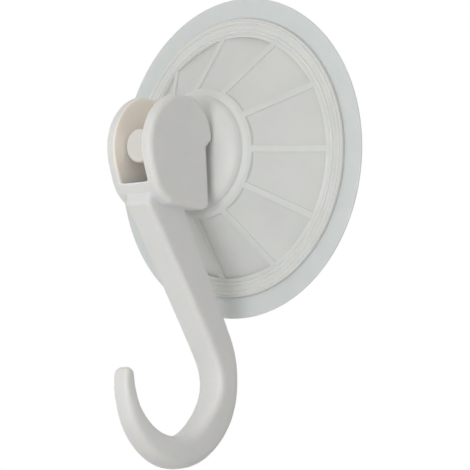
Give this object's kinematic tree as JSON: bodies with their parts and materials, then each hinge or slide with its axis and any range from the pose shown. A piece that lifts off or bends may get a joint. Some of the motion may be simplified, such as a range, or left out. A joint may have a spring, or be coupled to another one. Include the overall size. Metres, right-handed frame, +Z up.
{
  "type": "suction cup hook",
  "caption": "White hook on a soft round suction cup: a stiff ribbed cone presses the cup to the wall when the cam lever that carries the hook is swung down.",
  "frame": {"origin": "where the cup's axis meets the wall, in the plane of the cup's flat rear rim", "axes": "+Z up, +Y into the wall, -Y out of the wall towards the user, +X to the right seen from the front; the hook hangs down"},
  "size_m": [0.08, 0.0454, 0.1195],
  "materials": {
    "soft_pvc": "clear soft vinyl, slightly milky and green",
    "stem_plastic": "moulded, natural off-white",
    "cover_plastic": "moulded white, soft gloss",
    "lever_plastic": "moulded white, soft gloss",
    "pin_steel": "drawn steel"
  },
  "bodies": {
    "cup_unit": {"suction_cup": "soft_pvc", "pull_stem": "stem_plastic", "press_cover": "cover_plastic", "pivot_pin": "pin_steel"},
    "lever": {"lever_hook": "lever_plastic"}
  },
  "joints": [
    {"name": "lever_turn", "type": "hinge", "parent": "cup_unit", "child": "lever", "pos_m": [0, -0.0319, 0.0015], "axis": [-1, 0, 0], "range_deg": [0, 90]}
  ]
}
